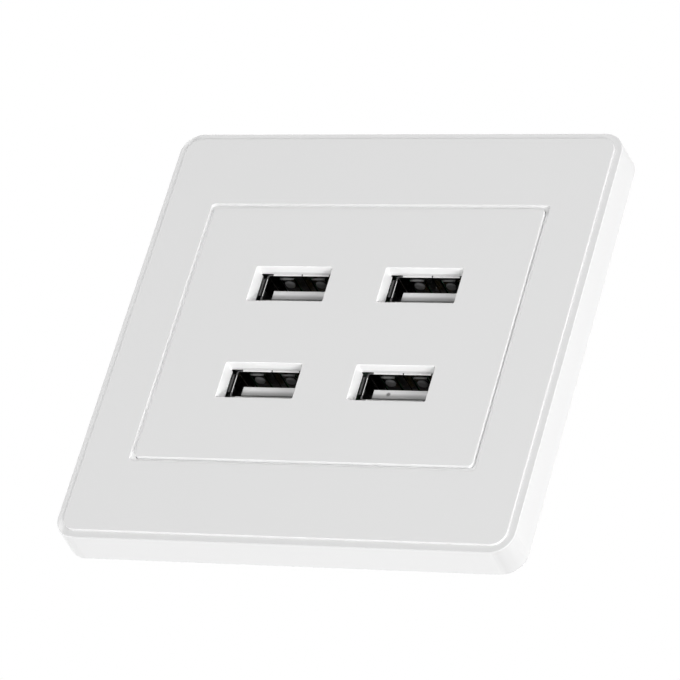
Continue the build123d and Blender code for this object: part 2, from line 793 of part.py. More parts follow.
# Each pole: a fixed folded tab, a cage that rises along its screw, and the screw
for number, x in enumerate(pole_places, start=1):
    with BuildPart() as terminal_tab:
        with BuildSketch(Plane.YZ.offset(x)):
            tab_rear = cage_front - cage_length - cage_clearance
            with Locations((-(tab_rear + block_front) / 2, tab_z)):
                Rectangle(block_front - tab_rear, tab_thickness)
            with Locations((-block_front - tab_thickness / 2, (tab_z + tab_rise_z) / 2)):
                Rectangle(tab_thickness, tab_rise_z - tab_z + tab_thickness)
            with Locations((-(power_back - pin_proud + block_front) / 2, tab_rise_z)):
                Rectangle(block_front - power_back + pin_proud, tab_thickness)
        extrude(amount=tab_width / 2, both=True)
    keep(terminal_tab, f"terminal_tab_{number}")

    with BuildPart() as terminal_cage:
        with BuildSketch(Plane.XZ.offset(cage_front)):
            with Locations((x, (cage_top + cage_foot) / 2)):
                Rectangle(cage_width, cage_top - cage_foot)
            window_foot = cage_foot + cage_thread_wall
            window_top = cage_top - cage_top_wall
            with Locations((x, (window_top + window_foot) / 2)):
                Rectangle(
                    cage_width - 2 * cage_side_wall,
                    window_top - window_foot,
                    mode=Mode.SUBTRACT,
                )
        extrude(amount=-cage_length)
        with BuildSketch(Plane.XY.offset(cage_foot)):
            with Locations((x, -cage_level)):
                Circle(terminal_screw_radius + terminal_screw_fit)
        extrude(amount=cage_thread_wall, mode=Mode.SUBTRACT)
    keep(terminal_cage, f"terminal_cage_{number}")

    with BuildPart() as terminal_screw:
        with BuildSketch(Plane.XY.offset(screw_shoulder)):
            with Locations((x, -cage_level)):
                Circle(terminal_screw_radius)
        extrude(amount=tab_z - tab_thickness / 2 - terminal_screw_fit - screw_shoulder)
        with BuildSketch(Plane.XY.offset(screw_shoulder)):
            with Locations((x, -cage_level)):
                Circle(terminal_head_radius)
        extrude(amount=-terminal_head_height)
        with BuildSketch(Plane.XY.offset(screw_shoulder - terminal_head_height)):
            with Locations((x, -cage_level)):
                Rectangle(2 * terminal_head_radius, terminal_head_slot_width)
        extrude(amount=terminal_head_slot_depth, mode=Mode.SUBTRACT)
    keep(terminal_screw, f"terminal_screw_{number}")


def make_can(place, radius, height, name):
    """An upright electrolytic can with a crimp near its foot."""
    with BuildPart() as can:
        with BuildSketch(Plane.XZ.offset(power_front)):
            with Locations(place):
                Circle(radius)
        extrude(amount=height)
        fillet(can.faces().sort_by(Axis.Y)[0].edges(), capacitor_crimp)
        with BuildSketch(Plane.XZ.offset(power_front + capacitor_crimp_height)):
            with Locations(place):
                Circle(radius)
                Circle(radius - capacitor_crimp, mode=Mode.SUBTRACT)
        extrude(amount=2 * capacitor_crimp, mode=Mode.SUBTRACT)
    keep(can, name)


def make_chip(place, width, length, height, level, name):
    """A moulded block that sits on a board, with a bevelled top edge."""
    with BuildPart() as chip:
        with BuildSketch(Plane.XZ.offset(level)):
            with Locations(place):
                Rectangle(width, length)
        extrude(amount=height)
        top = chip.faces().sort_by(Axis.Y)[0 if height > 0 else -1]
        chamfer(top.edges(), chip_edge)
    keep(chip, name)


def make_disc(place, radius, thickness, name):
    """A dipped disc that stands on its edge on the power board."""
    with BuildPart() as disc:
        with BuildSketch(Plane.YZ.offset(place[0])):
            with Locations((-power_front - radius, place[1])):
                Circle(radius)
        extrude(amount=thickness / 2, both=True)
        fillet(disc.edges(), thickness / 4)
    keep(disc, name)


for number, place in enumerate(input_capacitor_places, start=1):
    make_can(place, input_capacitor_radius, input_capacitor_height, f"input_capacitor_{number}")
for number, place in enumerate(output_capacitor_places, start=1):
    make_can(place, output_capacitor_radius, output_capacitor_height, f"output_capacitor_{number}")
make_chip(bridge_place, bridge_width, bridge_length, bridge_height, power_front, "bridge_rectifier")
make_chip(fuse_place, fuse_width, fuse_length, fuse_height, power_front, "fuse")
make_chip(
    optocoupler_place,
    optocoupler_width,
    optocoupler_length,
    optocoupler_height,
    power_front,
    "optocoupler",
)
make_chip(
    controller_place,
    controller_width,
    controller_length,
    controller_height,
    power_front,
    "controller_chip",
)
make_chip(diode_place, diode_width, diode_length, diode_height, power_front, "output_diode")
for number, place in enumerate(charge_chip_places, start=1):
    make_chip(
        place,
        charge_chip_width,
        charge_chip_length,
        -charge_chip_height,
        board_back,
        f"charge_chip_{number}",
    )
make_disc(varistor_place, varistor_radius, varistor_thickness, "varistor")
make_disc(
    safety_capacitor_place,
    safety_capacitor_radius,
    safety_capacitor_thickness,
    "safety_capacitor",
)

# Transformer: a closed core with a middle leg, a flanged bobbin on it and the winding
core_foot = power_front + core_lift
core_middle = core_foot + core_height / 2
core_window_height = core_height - 2 * core_yoke
core_window_width = (core_width - core_leg) / 2 - core_outer_leg
core_window_offset = (core_leg + core_window_width) / 2
with BuildPart() as transformer_core:
    with BuildSketch(Plane.XY.offset(transformer_z - core_depth / 2)):
        with Locations((transformer_x, -core_middle)):
            Rectangle(core_width, core_height)
            with GridLocations(2 * core_window_offset, 0, 2, 1):
                Rectangle(core_window_width, core_window_height, mode=Mode.SUBTRACT)
    extrude(amount=core_depth)
keep(transformer_core, "transformer_core")

bobbin_width = core_leg + 2 * core_window_width - 2 * winding_clearance
bobbin_foot_level = core_foot + core_yoke + winding_clearance
bobbin_top_level = core_foot + core_height - core_yoke - winding_clearance
with BuildPart() as transformer_bobbin:
    for level in (bobbin_foot_level, bobbin_top_level - bobbin_flange):
        with BuildSketch(Plane.XZ.offset(level)):
            with Locations((transformer_x, transformer_z)):
                Rectangle(bobbin_width, bobbin_depth)
        extrude(amount=bobbin_flange)
    with BuildSketch(Plane.XZ.offset(bobbin_foot_level)):
        with Locations((transformer_x, transformer_z)):
            Rectangle(core_leg + 2 * bobbin_wall, core_depth + 2 * bobbin_wall)
    extrude(amount=bobbin_top_level - bobbin_foot_level)
    with BuildSketch(Plane.XZ.offset(power_front)):
        with Locations((transformer_x, transformer_z)):
            with GridLocations(0, bobbin_depth - bobbin_foot, 1, 2):
                Rectangle(bobbin_width, bobbin_foot)
    extrude(amount=bobbin_foot_level - power_front)
    with BuildSketch(Plane.XZ.offset(bobbin_foot_level)):
        with Locations((transformer_x, transformer_z)):
            Rectangle(core_leg + 2 * winding_clearance, core_depth + 2 * winding_clearance)
    extrude(amount=bobbin_top_level - bobbin_foot_level, mode=Mode.SUBTRACT)
keep(transformer_bobbin, "transformer_bobbin")

winding_width = bobbin_width - 2 * winding_clearance
with BuildPart() as transformer_winding:
    with BuildSketch(Plane.XZ.offset(bobbin_foot_level + bobbin_flange + winding_clearance)):
        with Locations((transformer_x, transformer_z)):
            RectangleRounded(winding_width, winding_depth, (winding_width - core_leg) / 4)
            Rectangle(
                core_leg + 2 * (bobbin_wall + winding_clearance),
                core_depth + 2 * (bobbin_wall + winding_clearance),
                mode=Mode.SUBTRACT,
            )
    extrude(amount=bobbin_top_level - bobbin_foot_level - 2 * (bobbin_flange + winding_clearance))
keep(transformer_winding, "transformer_winding")

# Choke: a drum core and its winding
with BuildPart() as choke_core:
    with BuildSketch(Plane.XY.offset(choke_z)):
        with BuildLine():
            Polyline(
                (choke_x, -power_front),
                (choke_x + choke_radius, -power_front),
                (choke_x + choke_radius, -power_front - choke_flange),
                (choke_x + choke_waist_radius, -power_front - choke_flange),
                (choke_x + choke_waist_radius, -power_front - choke_height + choke_flange),
                (choke_x + choke_radius, -power_front - choke_height + choke_flange),
                (choke_x + choke_radius, -power_front - choke_height),
                (choke_x, -power_front - choke_height),
                close=True,
            )
        make_face()
    revolve(axis=Axis((choke_x, 0, choke_z), (0, 1, 0)))
keep(choke_core, "choke_core")

with BuildPart() as choke_winding:
    with BuildSketch(Plane.XZ.offset(power_front + choke_flange + winding_clearance)):
        with Locations((choke_x, choke_z)):
            Circle(choke_winding_radius)
            Circle(choke_waist_radius + winding_clearance, mode=Mode.SUBTRACT)
    extrude(amount=choke_height - 2 * (choke_flange + winding_clearance))
keep(choke_winding, "choke_winding")
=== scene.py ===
# %% [markdown]
# # A white wall socket with four charging ports
# This lesson dresses a finished construction model. The pieces already stand in their
# true places, in metres, with the wall at Y = 0, the face looking along -Y and Z up.
# Blender adds the finishes, the screws' heads and points, the light and the camera.

# %% Load the construction model
import json
import math
import bpy
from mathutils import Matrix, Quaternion, Vector


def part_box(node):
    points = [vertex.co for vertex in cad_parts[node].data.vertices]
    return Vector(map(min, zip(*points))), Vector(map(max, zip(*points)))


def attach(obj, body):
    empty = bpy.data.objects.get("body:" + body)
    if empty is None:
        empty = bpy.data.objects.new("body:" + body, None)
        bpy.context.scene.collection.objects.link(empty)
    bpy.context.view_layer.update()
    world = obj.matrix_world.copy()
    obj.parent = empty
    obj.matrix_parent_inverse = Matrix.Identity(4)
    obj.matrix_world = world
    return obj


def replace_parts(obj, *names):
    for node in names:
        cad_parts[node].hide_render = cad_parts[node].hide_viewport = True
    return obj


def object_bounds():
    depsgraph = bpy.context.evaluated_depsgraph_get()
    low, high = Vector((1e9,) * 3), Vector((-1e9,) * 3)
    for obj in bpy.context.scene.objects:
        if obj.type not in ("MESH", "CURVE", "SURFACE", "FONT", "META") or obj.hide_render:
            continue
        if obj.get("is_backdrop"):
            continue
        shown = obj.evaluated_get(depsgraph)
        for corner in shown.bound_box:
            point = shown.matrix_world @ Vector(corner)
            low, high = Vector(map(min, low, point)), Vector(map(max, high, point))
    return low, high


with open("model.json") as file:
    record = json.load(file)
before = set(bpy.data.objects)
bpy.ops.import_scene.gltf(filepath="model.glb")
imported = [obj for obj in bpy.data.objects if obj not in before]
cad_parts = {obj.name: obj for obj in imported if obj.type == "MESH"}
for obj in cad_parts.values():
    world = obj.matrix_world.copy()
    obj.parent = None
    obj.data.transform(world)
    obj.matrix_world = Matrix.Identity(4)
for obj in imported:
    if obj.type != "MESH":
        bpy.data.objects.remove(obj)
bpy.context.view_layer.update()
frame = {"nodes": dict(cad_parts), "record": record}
nodes = frame["nodes"]
MM = 0.001

# %% [markdown]
# ## Camera
# The photograph was taken with a long lens, from the right and from below, with the camera
# rolled so that the plate seems to lean. The camera could be dragged about by hand until
# the picture fits. Here four numbers say it instead, so that each can be changed alone: how
# far round, how far up or down, how far away and how much roll. The lens is a long one,
# because it keeps the plate's edges almost parallel.

# %% Set the camera at the photograph's place
VIEW_AZIMUTH = 29.75
VIEW_ELEVATION = -30.24
VIEW_ROLL = 17.07
VIEW_DISTANCE = 0.8456
AIM = Vector((0.70, -7.2, -1.70)) * MM
LENS_MM = 259.4
SENSOR_MM = 36.0


def way_to(azimuth_degrees, elevation_degrees):
    """The unit vector that points from the plate towards that side."""
    round_turn = math.radians(azimuth_degrees)
    up_turn = math.radians(elevation_degrees)
    return Vector((
        math.sin(round_turn) * math.cos(up_turn),
        -math.cos(round_turn) * math.cos(up_turn),
        math.sin(up_turn),
    ))


towards_camera = way_to(VIEW_AZIMUTH, VIEW_ELEVATION)
bpy.ops.object.select_all(action="DESELECT")
bpy.ops.object.camera_add(location=AIM + VIEW_DISTANCE * towards_camera)
camera = bpy.context.object
level_turn = (-towards_camera).to_track_quat("-Z", "Y")
roll_turn = Quaternion((0, 0, 1), math.radians(VIEW_ROLL))
camera.rotation_euler = (level_turn @ roll_turn).to_euler()
camera.data.lens = LENS_MM
camera.data.sensor_width = SENSOR_MM
camera.data.dof.use_dof = False
bpy.context.scene.camera = camera
bpy.context.scene.view_settings.view_transform = "Standard"
print("camera at", [round(v, 3) for v in camera.location])

# %% [markdown]
# ## The white room
# The photograph's background is plain white, and the glossy plastic and the plating mirror
# it. A world that bright would also light every side alike and wash the shapes out. So it
# is told apart by the kind of ray: rays that look at the world or mirror it find plain
# white, and as a light it is a dim grey. The Light Path node gives the mask for that.

# %% Make the world white to look at and dim as a light
PAGE_STRENGTH = 1.0
WORLD_LIGHT = 0.35
world = bpy.data.worlds.new("studio_white")
bpy.context.scene.world = world
world.use_nodes = True
sky = world.node_tree
sky.nodes.clear()


def white_background(strength):
    """A white background of that strength in the world's nodes."""
    background = sky.nodes.new("ShaderNodeBackground")
    background.inputs["Color"].default_value = (1, 1, 1, 1)
    background.inputs["Strength"].default_value = strength
    return background.outputs[0]


def looked_at_mask(tree):
    """A mask that is 1 for rays that see or mirror a surface, and 0 for rays that light."""
    path = tree.nodes.new("ShaderNodeLightPath")
    mask = path.outputs["Is Camera Ray"]
    for kind in ("Is Glossy Ray", "Is Transmission Ray"):
        either = tree.nodes.new("ShaderNodeMath")
        either.operation = "MAXIMUM"
        tree.links.new(mask, either.inputs[0])
        tree.links.new(path.outputs[kind], either.inputs[1])
        mask = either.outputs[0]
    return mask


sky_mix = sky.nodes.new("ShaderNodeMixShader")
sky_out = sky.nodes.new("ShaderNodeOutputWorld")
sky.links.new(looked_at_mask(sky), sky_mix.inputs["Fac"])
sky.links.new(white_background(WORLD_LIGHT), sky_mix.inputs[1])
sky.links.new(white_background(PAGE_STRENGTH), sky_mix.inputs[2])
sky.links.new(sky_mix.outputs[0], sky_out.inputs["Surface"])
print("world light", WORLD_LIGHT)

# %% [markdown]
# ## Lamps
# In the photograph the right side, the lower side and every small wall that faces right or
# down are brighter than the face, and the foot of each port's tongue falls into shade. One
# sun lamp would give hard shadows, so soft square lamps are used. The strongest hang below
# and to the right, and weaker ones at the left, above and behind keep the other sides
# readable. The lamps don't show in mirrors, so the face reflects only the white room.

# %% Hang the soft lamps
# Each lamp has a strength, as a share of what an all-white world gives, then a way round
# and a way up in degrees, and the length of its sides in metres.
LAMP_DISTANCE = 2.5
LAMPS = {
    "low_front_lamp": (0.33, 5.0, -38.0, 0.4),
    "right_front_lamp": (0.72, 55.0, -36.0, 1.0),
    "right_lamp": (0.05, 88.0, 0.0, 1.0),
    "right_middle_lamp": (0.25, 60.0, -8.0, 0.8),
    "left_lamp": (0.38, -80.0, 0.0, 1.0),
    "top_lamp": (0.50, 0.0, 78.0, 1.0),
    "rear_lamp": (0.45, 190.0, 20.0, 1.2),
}


def soft_lamp(name, share, azimuth_degrees, elevation_degrees, size):
    """A square lamp that looks at the middle of the plate."""
    away = way_to(azimuth_degrees, elevation_degrees)
    bpy.ops.object.light_add(type="AREA", location=AIM + LAMP_DISTANCE * away)
    lamp = bpy.context.object
    lamp.name = name
    lamp.data.energy = share * (math.pi * LAMP_DISTANCE) ** 2
    lamp.data.size = size
    lamp.rotation_euler = (-away).to_track_quat("-Z", "Y").to_euler()
    lamp.visible_camera = False
    lamp.visible_glossy = False
    return lamp


for lamp_name, settings in LAMPS.items():
    lamp = soft_lamp(lamp_name, *settings)
    print(lamp_name, round(lamp.data.energy, 2), "W")

# %% [markdown]
# ## Floor
# The plate hangs on a wall, so the floor is far below it and out of the picture. It still
# sends soft light up. A plain pale material would look grey next to the white world, so,
# looked at directly, the floor is as white as the page.

# %% Lay the floor
FLOOR_LEVEL = -3.2
FLOOR_SIZE = 16.0
FLOOR_COLOUR = (0.85, 0.85, 0.85, 1)
FLOOR_ROUGHNESS = 0.9
bpy.ops.mesh.primitive_plane_add(size=FLOOR_SIZE, location=(0, 0, FLOOR_LEVEL))
floor = bpy.context.object
floor.name = "studio_floor"
floor_paint = bpy.data.materials.new("floor_white")
floor_paint.use_nodes = True
tree = floor_paint.node_tree
paint = tree.nodes["Principled BSDF"]
paint.inputs["Base Color"].default_value = FLOOR_COLOUR
paint.inputs["Roughness"].default_value = FLOOR_ROUGHNESS
page = tree.nodes.new("ShaderNodeEmission")
floor_mix = tree.nodes.new("ShaderNodeMixShader")
tree.links.new(looked_at_mask(tree), floor_mix.inputs["Fac"])
tree.links.new(paint.outputs[0], floor_mix.inputs[1])
tree.links.new(page.outputs[0], floor_mix.inputs[2])
tree.links.new(floor_mix.outputs[0], tree.nodes["Material Output"].inputs["Surface"])
floor.data.materials.append(floor_paint)
floor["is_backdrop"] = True
print("floor at", FLOOR_LEVEL, "m")

# %% [markdown]
# ## Shared surface effects
# Most pieces of the socket are moulded plastic or metal sheet, and each of the two kinds has
# its own unevenness. The nodes for it could be repeated in every material. Instead each kind
# is a node group, built once, so that a material only sets its own colours and scales. A few
# helpers keep the lines for the nodes short.

# %% Helpers for node groups


def new_group(name, inputs, outputs):
    """An empty shader node group with named sockets, given as (name, kind, default)."""
    group = bpy.data.node_groups.new(name, "ShaderNodeTree")
    for socket_name, kind, default in inputs:
        socket = group.interface.new_socket(socket_name, in_out="INPUT", socket_type=kind)
        socket.default_value = default
    for socket_name, kind in outputs:
        group.interface.new_socket(socket_name, in_out="OUTPUT", socket_type=kind)
    source = group.nodes.new("NodeGroupInput")
    result = group.nodes.new("NodeGroupOutput")
    return group, source.outputs, result.inputs


def math_node(tree, operation, first, second=0.0):
    """A maths node; each input is a number or a socket."""
    node = tree.nodes.new("ShaderNodeMath")
    node.operation = operation
    for index, value in enumerate((first, second)):
        if isinstance(value, (int, float)):
            node.inputs[index].default_value = value
        else:
            tree.links.new(value, node.inputs[index])
    return node.outputs[0]


def noise_node(tree, vector, scale, detail=2.0):
    """Noise on the given coordinates; the scale is a socket, in waves per metre."""
    node = tree.nodes.new("ShaderNodeTexNoise")
    node.inputs["Detail"].default_value = detail
    tree.links.new(vector, node.inputs["Vector"])
    tree.links.new(scale, node.inputs["Scale"])
    return node.outputs["Fac"]


def shaded(tree, colour, offset):
    """The colour, lighter where the offset is above 0 and darker where it is below."""
    node = tree.nodes.new("ShaderNodeHueSaturation")
    tree.links.new(colour, node.inputs["Color"])
    tree.links.new(math_node(tree, "ADD", offset, 1.0), node.inputs["Value"])
    return node.outputs["Color"]


print("helpers for node groups ready")

# %% [markdown]
# ## Moulded skin
# Moulded plastic is never quite even: its shade and gloss drift a little where the melt
# flowed, and the steel of the mould leaves a fine grain. A picture of a surface could carry
# that. Two noises do it at any scale and without a seam: a broad one for the drift, and a
# fine one for the grain, which also goes out as a height for a bump.

# %% Build the moulded-skin group
FLOAT = "NodeSocketFloat"
COLOUR = "NodeSocketColor"
NOISE_MIDDLE = 0.5
GRAIN_DETAIL = 3.0
moulded, skin, skin_out = new_group(
    "moulded_skin",
    [
        ("Colour", COLOUR, (0.8, 0.8, 0.8, 1)),
        ("Shade Drift", FLOAT, 0.03),
        ("Drift Scale", FLOAT, 60.0),
        ("Grain Scale", FLOAT, 2500.0),
        ("Roughness", FLOAT, 0.35),
        ("Roughness Drift", FLOAT, 0.1),
    ],
    [("Colour", COLOUR), ("Roughness", FLOAT), ("Height", FLOAT)],
)
where = moulded.nodes.new("ShaderNodeTexCoord").outputs["Object"]
flow = noise_node(moulded, where, skin["Drift Scale"])
drift = math_node(moulded, "SUBTRACT", flow, NOISE_MIDDLE)
grain = noise_node(moulded, where, skin["Grain Scale"], GRAIN_DETAIL)
shade = math_node(moulded, "MULTIPLY", drift, skin["Shade Drift"])
unevenness = math_node(moulded, "ADD", drift, grain)
spread = math_node(moulded, "MULTIPLY", unevenness, skin["Roughness Drift"])
roughness = math_node(moulded, "ADD", spread, skin["Roughness"])
moulded.links.new(shaded(moulded, skin["Colour"], shade), skin_out["Colour"])
moulded.links.new(roughness, skin_out["Roughness"])
moulded.links.new(grain, skin_out["Height"])
print("group", moulded.name, "nodes", len(moulded.nodes))

# %% [markdown]
# ## Drawn metal
# Sheet, wire and pins come from rolls and dies, which leave fine streaks along the way they
# were drawn. Scratches could be modelled one by one, but they are far too fine to be seen
# singly. So a noise that is stretched along Y, out of the wall, gives the streaks, and they
# change the shade, the gloss and the height together.

# %% Build the drawn-metal group
STREAK_STRETCH = (1.0, 0.08, 1.0)
STREAK_DETAIL = 4.0
drawn, sheet, sheet_out = new_group(
    "drawn_metal",
    [
        ("Colour", COLOUR, (0.6, 0.6, 0.6, 1)),
        ("Streak Scale", FLOAT, 400.0),
        ("Streak Depth", FLOAT, 0.2),
        ("Roughness", FLOAT, 0.25),
    ],
    [("Colour", COLOUR), ("Roughness", FLOAT), ("Height", FLOAT)],
)
where = drawn.nodes.new("ShaderNodeTexCoord").outputs["Object"]
stretch = drawn.nodes.new("ShaderNodeMapping")
stretch.inputs["Scale"].default_value = STREAK_STRETCH
drawn.links.new(where, stretch.inputs["Vector"])
streaks = noise_node(drawn, stretch.outputs["Vector"], sheet["Streak Scale"], STREAK_DETAIL)
deviation = math_node(drawn, "SUBTRACT", streaks, NOISE_MIDDLE)
offset = math_node(drawn, "MULTIPLY", deviation, sheet["Streak Depth"])
roughness = math_node(drawn, "ADD", offset, sheet["Roughness"])
drawn.links.new(shaded(drawn, sheet["Colour"], offset), sheet_out["Colour"])
drawn.links.new(roughness, sheet_out["Roughness"])
drawn.links.new(streaks, sheet_out["Height"])
print("group", drawn.name, "nodes", len(drawn.nodes))

# %% [markdown]
# ## Plastics
# The frame and the panel are glossy white mouldings. The bracket and the box behind the wall
# come from plainer tools with a fine spark-eroded grain, and the small parts on the boards
# have sleeves, tapes and resins of their own. They differ only in colour, gloss and grain,
# so one function makes them all: it places the moulded-skin group, sets its values and
# sends the grain into a bump.

# %% A helper for finishes


def finish_from(group, name, values, bump, bump_depth):
    """A material that takes its colour, roughness and relief from a group with those values."""
    material = bpy.data.materials.new(name)
    material.use_nodes = True
    tree = material.node_tree
    shader = tree.nodes["Principled BSDF"]
    surface = tree.nodes.new("ShaderNodeGroup")
    surface.node_tree = group
    for socket_name, value in values.items():
        surface.inputs[socket_name].default_value = value
    relief = tree.nodes.new("ShaderNodeBump")
    relief.inputs["Strength"].default_value = bump
    relief.inputs["Distance"].default_value = bump_depth
    tree.links.new(surface.outputs["Height"], relief.inputs["Height"])
    tree.links.new(surface.outputs["Colour"], shader.inputs["Base Color"])
    tree.links.new(surface.outputs["Roughness"], shader.inputs["Roughness"])
    tree.links.new(relief.outputs["Normal"], shader.inputs["Normal"])
    return material


print("finishes can come from", moulded.name, "and", drawn.name)

# %% Make the plastics
GRAIN_DEPTH = 0.1 * MM
ROUGHNESS_DRIFT = 0.06


def plastic(name, colour, roughness, drift=0.02, grain=2500.0, bump=0.02):
    """A moulded plastic with its own colour, gloss and grain."""
    values = {
        "Colour": (*colour, 1),
        "Shade Drift": drift,
        "Grain Scale": grain,
        "Roughness": roughness,
        "Roughness Drift": ROUGHNESS_DRIFT,
    }
    return finish_from(moulded, name, values, bump, GRAIN_DEPTH)


PLASTICS = {
    "white_gloss": dict(colour=(0.92, 0.92, 0.92), roughness=0.30, drift=0.012, grain=900.0),
    "white_matte": dict(colour=(0.78, 0.78, 0.775), roughness=0.50, drift=0.03, grain=4200.0, bump=0.25),
    "box_grey": dict(colour=(0.13, 0.13, 0.135), roughness=0.55, drift=0.08, grain=4200.0, bump=0.3),
    "insulator_white": dict(colour=(0.74, 0.74, 0.735), roughness=0.42, grain=3000.0, bump=0.05),
    "header_black": dict(colour=(0.025, 0.025, 0.026), roughness=0.45, grain=3500.0, bump=0.2),
    "bobbin_black": dict(colour=(0.035, 0.034, 0.033), roughness=0.50, grain=3500.0, bump=0.3),
    "winding_tape": dict(colour=(0.80, 0.60, 0.09), roughness=0.35, drift=0.2, grain=1500.0, bump=0.2),
    "can_sleeve": dict(colour=(0.04, 0.055, 0.11), roughness=0.28, drift=0.15, grain=1200.0, bump=0.05),
    "epoxy_black": dict(colour=(0.03, 0.03, 0.031), roughness=0.55, drift=0.2, grain=6000.0, bump=0.4),
    "disc_blue": dict(colour=(0.06, 0.17, 0.46), roughness=0.25, drift=0.2, grain=700.0, bump=0.15),
    "fuse_brown": dict(colour=(0.15, 0.075, 0.04), roughness=0.45, grain=3000.0, bump=0.15),
    "opto_white": dict(colour=(0.74, 0.73, 0.68), roughness=0.50, grain=5000.0, bump=0.3),
    "ferrite": dict(colour=(0.05, 0.05, 0.054), roughness=0.62, drift=0.4, grain=5000.0, bump=0.6),
}
finishes = {name: plastic(name, **look) for name, look in PLASTICS.items()}
print("plastics:", ", ".join(finishes))

# %% [markdown]
# ## Masks
# One moulding can carry several tones. They could be separate materials on separate faces,
# but then every change would be a hard line. A mask can fade: it is a number from 0 to 1,
# worked out at each point from its place on the piece and from the way the surface looks
# there. Most of the masks below are ramps between two named places.

# %% Helpers for masks


def split_coordinates(tree, output):
    """The X, Y and Z of a point on the piece ("Object") or of the way it looks ("Normal")."""
    source = tree.nodes.new("ShaderNodeTexCoord")
    split = tree.nodes.new("ShaderNodeSeparateXYZ")
    tree.links.new(source.outputs[output], split.inputs[0])
    return split.outputs


def ramp(tree, value, start, end):
    """0 at one value and 1 at the other, with a straight slope between."""
    node = tree.nodes.new("ShaderNodeMapRange")
    node.inputs["From Min"].default_value = start
    node.inputs["From Max"].default_value = end
    tree.links.new(value, node.inputs["Value"])
    return node.outputs["Result"]


def all_of(tree, mask, *others):
    """A mask that is 1 only where all the given masks are."""
    for other in others:
        mask = math_node(tree, "MULTIPLY", mask, other)
    return mask


def blend(tree, factor, first, second):
    """A colour that goes from the first to the second; each is a grey or a socket."""
    node = tree.nodes.new("ShaderNodeMix")
    node.data_type = "RGBA"
    tree.links.new(factor, node.inputs["Factor"])
    for name, colour in (("A", first), ("B", second)):
        if isinstance(colour, float):
            node.inputs[name].default_value = (colour, colour, colour, 1)
        else:
            tree.links.new(colour, node.inputs[name])
    return node.outputs["Result"]


def tone_steps(tree, value, tones):
    """A grey that follows the given (place, grey) pairs as the value goes from 0 to 1."""
    node = tree.nodes.new("ShaderNodeValToRGB")
    stops = node.color_ramp.elements
    while len(stops) < len(tones):
        stops.new(1.0)
    for stop, (place, grey) in zip(stops, tones):
        stop.position = place
        stop.color = (grey, grey, grey, 1)
    tree.links.new(value, node.inputs["Fac"])
    return node.outputs["Color"]


def colour_socket(material):
    """The socket that takes the colour of the material's node group."""
    group = next(node for node in material.node_tree.nodes if node.type == "GROUP")
    return group.inputs["Colour"]


print("mask helpers ready")

# %% [markdown]
# ## Where the ports are
# The four ports share their finishes, and some of these change within a port, as from the
# top of a tongue to its foot. Four materials could do that. It takes less to let the nodes
# find the port next to a point: its side of the middle line and its row say which one it
# is. The rows and the pitch are measured on two tongues, one in each row.

# %% Measure the ports
rows = []
for node_name in ("usb_tongue_1", "usb_tongue_3"):
    low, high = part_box(node_name)
    rows.append((low.z + high.z) / 2)
between_rows = (rows[0] + rows[1]) / 2
half_pitch_z = abs(rows[0] - rows[1]) / 2
# Both rows have the same pitch, so the box of the last tongue gives it.
half_pitch_x = abs(low.x + high.x) / 2


def from_port_middle(tree, value, between, half_pitch):
    """How far a coordinate is from the port's middle on its side of the line between."""
    from_between = math_node(tree, "SUBTRACT", value, between)
    side = math_node(tree, "SIGN", from_between)
    middle = math_node(tree, "MULTIPLY", side, half_pitch)
    return math_node(tree, "SUBTRACT", from_between, middle)


def beside_port(tree, at):
    """How far a point is to the right of the middle of the port next to it."""
    return from_port_middle(tree, at["X"], 0.0, half_pitch_x)


def above_port(tree, at):
    """How far a point is above the middle of the port next to it."""
    return from_port_middle(tree, at["Z"], between_rows, half_pitch_z)


print("port rows in mm:", [round(row / MM, 2) for row in rows])
print("ports beside the middle line in mm:", round(half_pitch_x / MM, 2))

# %% [markdown]
# ## The front's tone
# The front of the plate is painted a shade greyer than its sides, steps and window walls, a
# painted shade that leaves the walls brighter, as if they caught more of the light. A second
# material on the front would end in hard lines at the rounded edges. So masks set the tone,
# and the front has a few of its own: the floor of the groove round the panel is paler, most
# on the right and least at the top, painted light in the groove's shade, and the low ledge
# along the left rim is paler too, painted light in the shade of the step beside it. How far
# a point stands out from the wall tells groove, ledge and plate apart, and its place across
# the plate does the rest.

# %% Tone the front
# Painted shade on the front; painted light on the groove's floor and on the left ledge.
FACE_SHADE_TONE = 0.590
GROOVE_LIGHT_TONE = 0.735
RIGHT_GROOVE_LIGHT_TONE = 0.80
TOP_GROOVE_LIGHT_TONE = 0.645
LEFT_LEDGE_LIGHT_TONE = 0.69
GROOVE_TO_PLATE_Y = (-6.32 * MM, -6.44 * MM)
RIGHT_GROOVE_X = (30.0 * MM, 31.5 * MM)
TOP_GROOVE_Z = (25.5 * MM, 26.2 * MM)
PLATE_TO_LEDGE_Y = (-6.80 * MM, -6.65 * MM)
LEFT_RIM_X = (-41.0 * MM, -41.5 * MM)
LEFT_EDGE_X = (-42.6 * MM, -42.2 * MM)
tree = finishes["white_gloss"].node_tree
at = split_coordinates(tree, "Object")
way = split_coordinates(tree, "Normal")
right_groove = ramp(tree, at["X"], *RIGHT_GROOVE_X)
top_groove = ramp(tree, at["Z"], *TOP_GROOVE_Z)
side_grooves = blend(tree, right_groove, GROOVE_LIGHT_TONE, RIGHT_GROOVE_LIGHT_TONE)
groove = blend(tree, top_groove, side_grooves, TOP_GROOVE_LIGHT_TONE)
on_ledge = ramp(tree, at["Y"], *PLATE_TO_LEDGE_Y)
on_left = ramp(tree, at["X"], *LEFT_RIM_X)
inside_edge = ramp(tree, at["X"], *LEFT_EDGE_X)
left_ledge_light = all_of(tree, on_ledge, on_left, inside_edge)
plate = blend(tree, left_ledge_light, FACE_SHADE_TONE, LEFT_LEDGE_LIGHT_TONE)
proud = ramp(tree, at["Y"], *GROOVE_TO_PLATE_Y)
front = blend(tree, proud, groove, plate)
print("tones of face, groove and ledge:", FACE_SHADE_TONE, GROOVE_LIGHT_TONE, LEFT_LEDGE_LIGHT_TONE)

